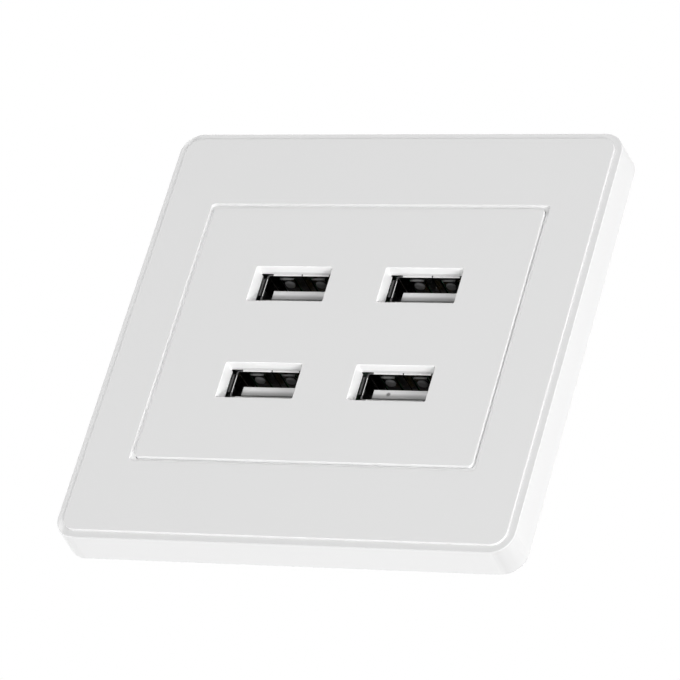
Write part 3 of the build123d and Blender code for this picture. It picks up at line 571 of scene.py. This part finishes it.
# %% [markdown]
# ## The sides' tone
# The plate's outer sides are smooth, and at each corner one turns into the next in a
# quarter circle. In the photograph they shade softly round the lower corners. More lamps
# could give that, but would upset the light on the face, so the plastic carries a little of
# it: the tone follows how far down the surface looks, with one row of tones for the right
# corner and one for the left. The sides are found by their distance from the middles of the
# corners' circles, which also holds along the straight runs.

# %% Tone the outer sides
RIGHT_SIDE_TONES = ((0.0, 0.800), (0.34, 0.685), (0.70, 0.61), (0.94, 0.61), (0.985, 0.69), (0.998, 0.766))
LEFT_SIDE_TONES = ((0.0, 0.800), (0.50, 0.79), (0.85, 0.92), (0.998, 0.766))
CORNER_MIDDLE = 39.0 * MM
OUTER_SIDE_REACH = (3.2 * MM, 3.4 * MM)
LEFT_WAY = (0.0, -0.1)


def slant(tree, across, upward):
    """The straight distance that a step across and a step upward make together."""
    squares = [math_node(tree, "MULTIPLY", step, step) for step in (across, upward)]
    return math_node(tree, "SQRT", math_node(tree, "ADD", *squares))


from_middle = [math_node(tree, "ABSOLUTE", at[axis]) for axis in ("X", "Z")]
past_corner = []
for distance in from_middle:
    past = math_node(tree, "SUBTRACT", distance, CORNER_MIDDLE)
    past_corner.append(math_node(tree, "MAXIMUM", past, 0.0))
outer_side = ramp(tree, slant(tree, *past_corner), *OUTER_SIDE_REACH)
looks_left = ramp(tree, way["X"], *LEFT_WAY)
downward = math_node(tree, "MULTIPLY", way["Z"], -1.0)
right_sides = tone_steps(tree, downward, RIGHT_SIDE_TONES)
left_sides = tone_steps(tree, downward, LEFT_SIDE_TONES)
sides = blend(tree, looks_left, right_sides, left_sides)
print("lower side's tone", RIGHT_SIDE_TONES[-1][1], "upright sides' tone", RIGHT_SIDE_TONES[0][1])

# %% [markdown]
# ## Steps and window walls
# Of the small steps round the rim and the panel, those that look right or down stand in the
# light and the others in shade, so the lit ones get the greyer tone. The walls of the port
# windows are the brightest part of the socket. They would burn out in the corner where two
# lit walls meet, at the upper left of each window. Weaker lamps would dim the whole socket,
# so only the walls' tone falls towards that corner. The collar behind the window's upper
# wall is painted a darker grey, a painted shade.

# %% Tone the steps
STEP_TONE = 0.77
SHADED_STEP_TONE = 0.95
LIT_WAY = (-0.2, 0.2)
right_and_down = math_node(tree, "SUBTRACT", way["X"], way["Z"])
lit = ramp(tree, right_and_down, *LIT_WAY)
steps = blend(tree, lit, SHADED_STEP_TONE, STEP_TONE)
print("tones of lit and shaded steps:", STEP_TONE, SHADED_STEP_TONE)

# %% Tone the window walls
WALL_TONES = ((0.0, 0.68), (0.06, 0.80), (0.17, 0.87), (0.34, 0.94), (0.50, 0.97), (1.0, 0.92))
# The collar's darker grey is painted shade.
COLLAR_SHADE_TONE = 0.74
FROM_WINDOW_CORNER = (-11.0 * MM, 3.7 * MM)
COLLAR_Y = (-5.21 * MM, -5.09 * MM)
DOWN_WAY = (-0.80, -0.95)
PORTS_REACH = (22.0 * MM, 21.0 * MM)
from_corner = math_node(tree, "SUBTRACT", beside_port(tree, at), above_port(tree, at))
wall_tone = tone_steps(tree, ramp(tree, from_corner, *FROM_WINDOW_CORNER), WALL_TONES)
near_ports = ramp(tree, math_node(tree, "MAXIMUM", *from_middle), *PORTS_REACH)
looks_down = ramp(tree, way["Z"], *DOWN_WAY)
at_collar = ramp(tree, at["Y"], *COLLAR_Y)
collar = all_of(tree, looks_down, at_collar, near_ports)
window_walls = blend(tree, collar, wall_tone, COLLAR_SHADE_TONE)
print("window walls from", WALL_TONES[0][1], "in the corner, collar", COLLAR_SHADE_TONE)

# %% [markdown]
# ## One white plastic
# Frame and panel come from the same white plastic, so all these tones go into one material.
# Three masks choose among them: whether the point is near the ports, whether it is on an
# outer side, and how straight the surface looks out of the wall. The last one fades over the
# rounded edges, so that front and walls meet softly there.

# %% Put the tones together
FRONT_WAY = (-0.45, -0.97)
inner_walls = blend(tree, near_ports, steps, window_walls)
walls = blend(tree, outer_side, inner_walls, sides)
looks_out = ramp(tree, way["Y"], *FRONT_WAY)
tree.links.new(blend(tree, looks_out, walls, front), colour_socket(finishes["white_gloss"]))
print("nodes in the white plastic:", len(tree.nodes))

# %% [markdown]
# ## Metals
# Screws are zinc plated, the clamps are brass and the contacts carry a thin gold flash. A
# plain metal shader would do for their colour, and the drawn-metal group adds the streaks
# that tell rolled and drawn metal from cast.

# %% Make the metals
STREAK_DEPTH = 0.2
STREAK_BUMP = 0.05
STREAK_HEIGHT = 0.05 * MM


def metal(name, colour, roughness, streak_scale=900.0, metallic=1.0):
    """A plated or plain metal with streaks along its length."""
    values = {
        "Colour": (*colour, 1),
        "Streak Scale": streak_scale,
        "Streak Depth": STREAK_DEPTH,
        "Roughness": roughness,
    }
    material = finish_from(drawn, name, values, STREAK_BUMP, STREAK_HEIGHT)
    material.node_tree.nodes["Principled BSDF"].inputs["Metallic"].default_value = metallic
    return material


METALS = {
    "screw_steel": dict(colour=(0.55, 0.56, 0.58), roughness=0.30),
    "terminal_brass": dict(colour=(0.72, 0.52, 0.22), roughness=0.28),
    "contact_gold": dict(colour=(0.86, 0.65, 0.26), roughness=0.22),
    "tab_tin": dict(colour=(0.66, 0.66, 0.65), roughness=0.35),
    "winding_copper": dict(colour=(0.50, 0.18, 0.06), roughness=0.25, streak_scale=2500.0),
}
for name, look in METALS.items():
    finishes[name] = metal(name, **look)
print("metals:", ", ".join(METALS))

# %% [markdown]
# ## Receptacle shells
# Each shell is thin plated sheet, folded round and flared at the mouth. The rolled bend of
# the flare is bright plating that mirrors the white room. The lips at the sides turn away
# and are painted almost black, a painted reflection of the dark gap beside them, and the
# inside of the tunnel is painted dark, a painted shade. The cut ends of the sheet and the
# springs' toes are painted a little lighter, a painted highlight. One material holds all of
# this, by the place on the sheet: how far behind the mouth and how far beside the port's
# middle. That keeps each shell in one piece, as the real one is.

# %% Measure the shell
LIP_LENGTH = 0.25 * MM
shell_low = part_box("usb_shell_1")[0]
mouth_y = shell_low.y + LIP_LENGTH
print("shell mouth at", round(mouth_y / MM, 2), "mm")

# %% Make the shell's plating
MOUTH_HALF_WIDTH = 6.25 * MM
LIP_FLARE = 0.5 * MM
SPRING_PITCH = 6.05 * MM
STREAKS_ON_SHELL = 1600.0
# Near-black side lips: painted reflection. Dark tunnel: painted shade. Cut ends and toes: painted
# highlight.
LIP_REFLECTION_TONES = ((0.0, 0.86), (0.20, 0.86), (0.30, 0.0), (0.75, 0.01), (0.98, 0.09))
TUNNEL_SHADE_TONE = 0.062
CUT_END_HIGHLIGHT_TONE = 0.10
TOE_HIGHLIGHT_TONE = 0.15
CUT_END_WAY = (-0.5, -0.8)
FROM_TOE_MIDDLE = (0.85 * MM, 0.75 * MM)
BEHIND_MOUTH_Y = (mouth_y - 0.04 * MM, mouth_y - 0.01 * MM)
plating = metal(
    "shell_nickel",
    colour=(0.80, 0.80, 0.80),
    roughness=0.20,
    streak_scale=STREAKS_ON_SHELL,
)
tree = plating.node_tree
at = split_coordinates(tree, "Object")
way = split_coordinates(tree, "Normal")
from_port = math_node(tree, "ABSOLUTE", beside_port(tree, at))
past_bend = math_node(tree, "SUBTRACT", from_port, MOUTH_HALF_WIDTH)
lip_reflection_tone = tone_steps(tree, ramp(tree, past_bend, 0.0, LIP_FLARE), LIP_REFLECTION_TONES)
cut_end = ramp(tree, way["Y"], *CUT_END_WAY)
from_spring = math_node(tree, "SUBTRACT", from_port, SPRING_PITCH / 2)
toe = ramp(tree, math_node(tree, "ABSOLUTE", from_spring), *FROM_TOE_MIDDLE)
end_highlight_tone = blend(tree, toe, CUT_END_HIGHLIGHT_TONE, TOE_HIGHLIGHT_TONE)
tunnel_shade_tone = blend(tree, cut_end, TUNNEL_SHADE_TONE, end_highlight_tone)
inside = ramp(tree, at["Y"], *BEHIND_MOUTH_Y)
tree.links.new(blend(tree, inside, lip_reflection_tone, tunnel_shade_tone), colour_socket(plating))
finishes["shell_nickel"] = plating
print("plating ready:", plating.name)

# %% Dull the cut ends and the long lips
LIP_DULLNESS = 0.65
LONG_LIP_REACH = (-0.2 * MM, -0.4 * MM)
long_lip = ramp(tree, past_bend, *LONG_LIP_REACH)
front_lip = math_node(tree, "SUBTRACT", long_lip, inside)
dull_lip = math_node(tree, "MULTIPLY", front_lip, LIP_DULLNESS)
dull_end = math_node(tree, "MULTIPLY", inside, cut_end)
dull = math_node(tree, "MAXIMUM", dull_lip, dull_end)
shader = tree.nodes["Principled BSDF"]
tree.links.new(math_node(tree, "SUBTRACT", 1.0, dull), shader.inputs["Metallic"])
print("long lips dulled by", LIP_DULLNESS)

# %% [markdown]
# ## Tongues
# The white tongue in each port is moulded resin. Its upper edge is painted pale, a painted
# highlight, and low down, in the shade behind the window's sill, it is painted a good deal
# greyer, a painted shade. The lamps alone give only a part of that, so the height above the
# port's middle sets the tone. The lower right tongue also carries a small grey dot, left by
# the pin that pushed it out of its mould, and a mask round one point makes it.

# %% Shade the tongues from top to sill
# Painted highlight at the tongue's top edge and painted shade down towards the sill.
TONGUE_TOP = 0.54 * MM
TONGUE_BOTTOM = -1.30 * MM
TONGUE_SHADING_TONES = ((0.0, 0.38), (0.27, 0.42), (0.60, 0.75), (0.90, 0.76), (0.94, 0.97))
resin = finishes["insulator_white"]
tree = resin.node_tree
at = split_coordinates(tree, "Object")
up_the_tongue = ramp(tree, above_port(tree, at), TONGUE_BOTTOM, TONGUE_TOP)
tongue_shading = tone_steps(tree, up_the_tongue, TONGUE_SHADING_TONES)
print("tongue tones from", TONGUE_SHADING_TONES[0][1], "at the sill to", TONGUE_SHADING_TONES[-1][1], "at the top")

# %% Leave the pin's dot on one tongue
DOT_X = 10.15 * MM
DOT_Z = -9.47 * MM
DOT_EDGE = 0.50 * MM
DOT_CORE = 0.22 * MM
DOT_TONE = 0.17
across = math_node(tree, "SUBTRACT", at["X"], DOT_X)
upward = math_node(tree, "SUBTRACT", at["Z"], DOT_Z)
dot = ramp(tree, slant(tree, across, upward), DOT_EDGE, DOT_CORE)
tree.links.new(blend(tree, dot, tongue_shading, DOT_TONE), colour_socket(resin))
print("dot at", [round(v / MM, 2) for v in (DOT_X, DOT_Z)], "mm")

# %% [markdown]
# ## Circuit boards
# A board is glass cloth and resin under green lacquer. Copper tracks show through the
# lacquer as a lighter green. Drawing a real layout would take long for something that is
# only seen through the vents, so a brick pattern stands for it: its mortar lines are the
# tracks. The pattern is turned to lie in the plane of the boards.

# %% Make the board lacquer
TRACK_SCALE = 100.0
TRACK_WIDTH = 0.012
TRACK_GREEN = (0.030, 0.150, 0.062, 1)
DARK_GREEN = (0.010, 0.062, 0.026, 1)
LIGHT_GREEN = (0.013, 0.080, 0.034, 1)
INTO_BOARD_PLANE = (math.radians(90), 0, 0)
lacquer = plastic(
    "board_green",
    colour=(0.012, 0.075, 0.03),
    roughness=0.30,
    drift=0.1,
    grain=4000.0,
    bump=0.05,
)
tree = lacquer.node_tree
turn = tree.nodes.new("ShaderNodeMapping")
turn.inputs["Rotation"].default_value = INTO_BOARD_PLANE
tree.links.new(tree.nodes.new("ShaderNodeTexCoord").outputs["Object"], turn.inputs["Vector"])
tracks = tree.nodes.new("ShaderNodeTexBrick")
tracks.inputs["Scale"].default_value = TRACK_SCALE
tracks.inputs["Mortar Size"].default_value = TRACK_WIDTH
tracks.inputs["Color1"].default_value = DARK_GREEN
tracks.inputs["Color2"].default_value = LIGHT_GREEN
tracks.inputs["Mortar"].default_value = TRACK_GREEN
tree.links.new(turn.outputs["Vector"], tracks.inputs["Vector"])
tree.links.new(tracks.outputs["Color"], colour_socket(lacquer))
finishes["board_green"] = lacquer
print("board lacquer ready:", lacquer.name)

# %% [markdown]
# ## Dress the pieces
# Nearly every piece has one finish all over, as on the real socket. They could be set one
# by one, but the record already says which finish each takes, so a loop sets them all.

# %% Assign every finish
for entry in frame["record"]["subparts"]:
    piece = nodes[entry["node"]]
    piece.data.materials.clear()
    piece.data.materials.append(finishes[entry["material_slot"]])

# %% [markdown]
# ## Spring dimples
# In the roof of each shell two spring fingers carry a pressed dimple that grips the plug.
# The punch leaves it dull. Its dark grey is painted shade, a little lighter than the roof's
# as a painted reflection of the white room in the dome. A mask would need the exact place of
# each dimple, so its faces are found and given a finish of their own: they hang just below
# the roof, further in than the springs' turned-down toes.

# %% Dull the dimples
MOUTH_HALF_HEIGHT = 2.56 * MM
DIMPLE_REACH = 4.2 * MM
DIMPLE_INSET = 1.4 * MM
LEAST_DROP = 0.03 * MM
MOST_DROP = 0.45 * MM
PORT_NUMBERS = (1, 2, 3, 4)
# The dimples' dark grey is painted shade, a little lighter as painted reflection; roughness and metallic
# make them dull.
dimple_finish = metal(
    "dimple_nickel",
    colour=(0.08, 0.08, 0.081),
    roughness=0.60,
    streak_scale=STREAKS_ON_SHELL,
    metallic=0.3,
)
for number in PORT_NUMBERS:
    shell = nodes[f"usb_shell_{number}"]
    low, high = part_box(f"usb_shell_{number}")
    middle = (low + high) / 2
    roof_z = middle.z + MOUTH_HALF_HEIGHT
    shell.data.materials.append(dimple_finish)
    dimple_faces = 0
    for face in shell.data.polygons:
        spot = shell.matrix_world @ face.center
        under_roof = LEAST_DROP < roof_z - spot.z < MOST_DROP
        on_springs = abs(spot.x - middle.x) < DIMPLE_REACH
        if under_roof and on_springs and spot.y > mouth_y + DIMPLE_INSET:
            face.material_index = 1
            dimple_faces += 1
    print("dimple faces on shell", number, dimple_faces)

# %% [markdown]
# ## Countersunk screws
# Four small screws hold the panel from behind. A machine strikes the head from wire and
# presses a cross recess into it. A plain cone on a rod would lack the recess, so the screw
# is shaped in steps: a cone becomes the head, its small end is drawn out into the shank and
# a point, and two tapered blades are taken out of the head for the cross. One screw is made
# and copied, because the four are alike.

# %% Start with the head
HEAD_RADIUS = 1.4 * MM
SHANK_RADIUS = 0.8 * MM
HEAD_HEIGHT = 0.9 * MM
ROUND_STEPS = 48
POINT_TOWARDS_FACE = (math.radians(90), 0, 0)
screws_low, screws_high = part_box("panel_screws")
screw_pitch_x = screws_high.x - screws_low.x - 2 * HEAD_RADIUS
screw_pitch_z = screws_high.z - screws_low.z - 2 * HEAD_RADIUS
screw_at = Vector((screw_pitch_x / 2, screws_high.y, screw_pitch_z / 2))
bpy.ops.object.select_all(action="DESELECT")
bpy.ops.mesh.primitive_cone_add(
    vertices=ROUND_STEPS,
    radius1=HEAD_RADIUS,
    radius2=SHANK_RADIUS,
    depth=HEAD_HEIGHT,
    location=screw_at - Vector((0, HEAD_HEIGHT / 2, 0)),
    rotation=POINT_TOWARDS_FACE,
)
screw = bpy.context.object
screw.name = "panel_screw_1"
bpy.ops.object.transform_apply(location=True, rotation=True, scale=True)
print("head height in mm:", round(screw.dimensions.y / MM, 2))

# %% Draw out the shank and the point
TIP_LENGTH = 0.6 * MM
TIP_TAPER = (0.35, 1.0, 0.35)
FRONT_NORMAL_Y = -0.99
shank_length = screws_high.y - screws_low.y - HEAD_HEIGHT - TIP_LENGTH


def select_front_faces(piece):
    """Select only the faces that look straight out of the wall."""
    for face in piece.data.polygons:
        face.select = face.normal.y < FRONT_NORMAL_Y


bpy.ops.object.mode_set(mode="EDIT")
bpy.ops.mesh.select_mode(type="FACE")
bpy.ops.mesh.select_all(action="DESELECT")
bpy.ops.object.mode_set(mode="OBJECT")
select_front_faces(screw)
bpy.ops.object.mode_set(mode="EDIT")
bpy.ops.mesh.extrude_region_move(TRANSFORM_OT_translate={"value": (0, -shank_length, 0)})
bpy.ops.mesh.extrude_region_move(TRANSFORM_OT_translate={"value": (0, -TIP_LENGTH, 0)})
bpy.ops.transform.resize(value=TIP_TAPER)
bpy.ops.object.mode_set(mode="OBJECT")
print("screw length in mm:", round(screw.dimensions.y / MM, 2))

# %% Press the cross recess
RECESS_SPAN = 1.7 * MM
RECESS_WIDTH = 0.42 * MM
RECESS_DEPTH = 0.75 * MM
BLADE_TAPER = (0.55, 1.0, 0.55)
BLADE_SIZES = (
    (RECESS_SPAN, 2 * RECESS_DEPTH, RECESS_WIDTH),
    (RECESS_WIDTH, 2 * RECESS_DEPTH, RECESS_SPAN),
)
for blade_number, blade_size in enumerate(BLADE_SIZES, start=1):
    bpy.ops.object.select_all(action="DESELECT")
    bpy.ops.mesh.primitive_cube_add(size=1.0, location=screw_at, scale=blade_size)
    blade = bpy.context.object
    bpy.ops.object.transform_apply(location=True, rotation=True, scale=True)
    select_front_faces(blade)
    bpy.ops.object.mode_set(mode="EDIT")
    bpy.ops.transform.resize(value=BLADE_TAPER, center_override=screw_at)
    bpy.ops.object.mode_set(mode="OBJECT")
    bpy.context.view_layer.objects.active = screw
    press = screw.modifiers.new(f"blade_{blade_number}", "BOOLEAN")
    press.operation = "DIFFERENCE"
    press.solver = "EXACT"
    press.object = blade
    bpy.ops.object.modifier_apply(modifier=press.name)
    bpy.data.objects.remove(blade)
print("faces after the recess:", len(screw.data.polygons))

# %% Place the other three and join the set
SMOOTH_BELOW = math.radians(35)
OTHER_CORNERS = ((-1, 1), (-1, -1), (1, -1))
screws = [screw]
for side_x, side_z in OTHER_CORNERS:
    bpy.ops.object.select_all(action="DESELECT")
    screw.select_set(True)
    bpy.context.view_layer.objects.active = screw
    bpy.ops.object.duplicate(linked=False)
    bpy.ops.transform.translate(
        value=((side_x - 1) * screw_pitch_x / 2, 0, (side_z - 1) * screw_pitch_z / 2)
    )
    bpy.ops.object.transform_apply(location=True, rotation=True, scale=True)
    screws.append(bpy.context.object)
bpy.ops.object.select_all(action="DESELECT")
for one in screws:
    one.select_set(True)
bpy.context.view_layer.objects.active = screw
bpy.ops.object.join()
screw.name = "panel_screw_set"
bpy.ops.object.shade_smooth_by_angle(angle=SMOOTH_BELOW)
screw.data.materials.clear()
screw.data.materials.append(finishes["screw_steel"])
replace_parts(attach(screw, "socket_body"), "panel_screws")
print("screws:", len(screws))
print("screw pitch in mm:", round(screw_pitch_x / MM, 2), round(screw_pitch_z / MM, 2))

# %% [markdown]
# ## The size of the dressed model
# The dressed model must fill the same box as the construction. A glance can't tell a tenth
# of a millimetre, so the dressed model's box is measured and printed.

# %% Measure the dressed model's box
low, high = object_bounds()
print("dressed size in mm:", [round(v / MM, 1) for v in high - low])
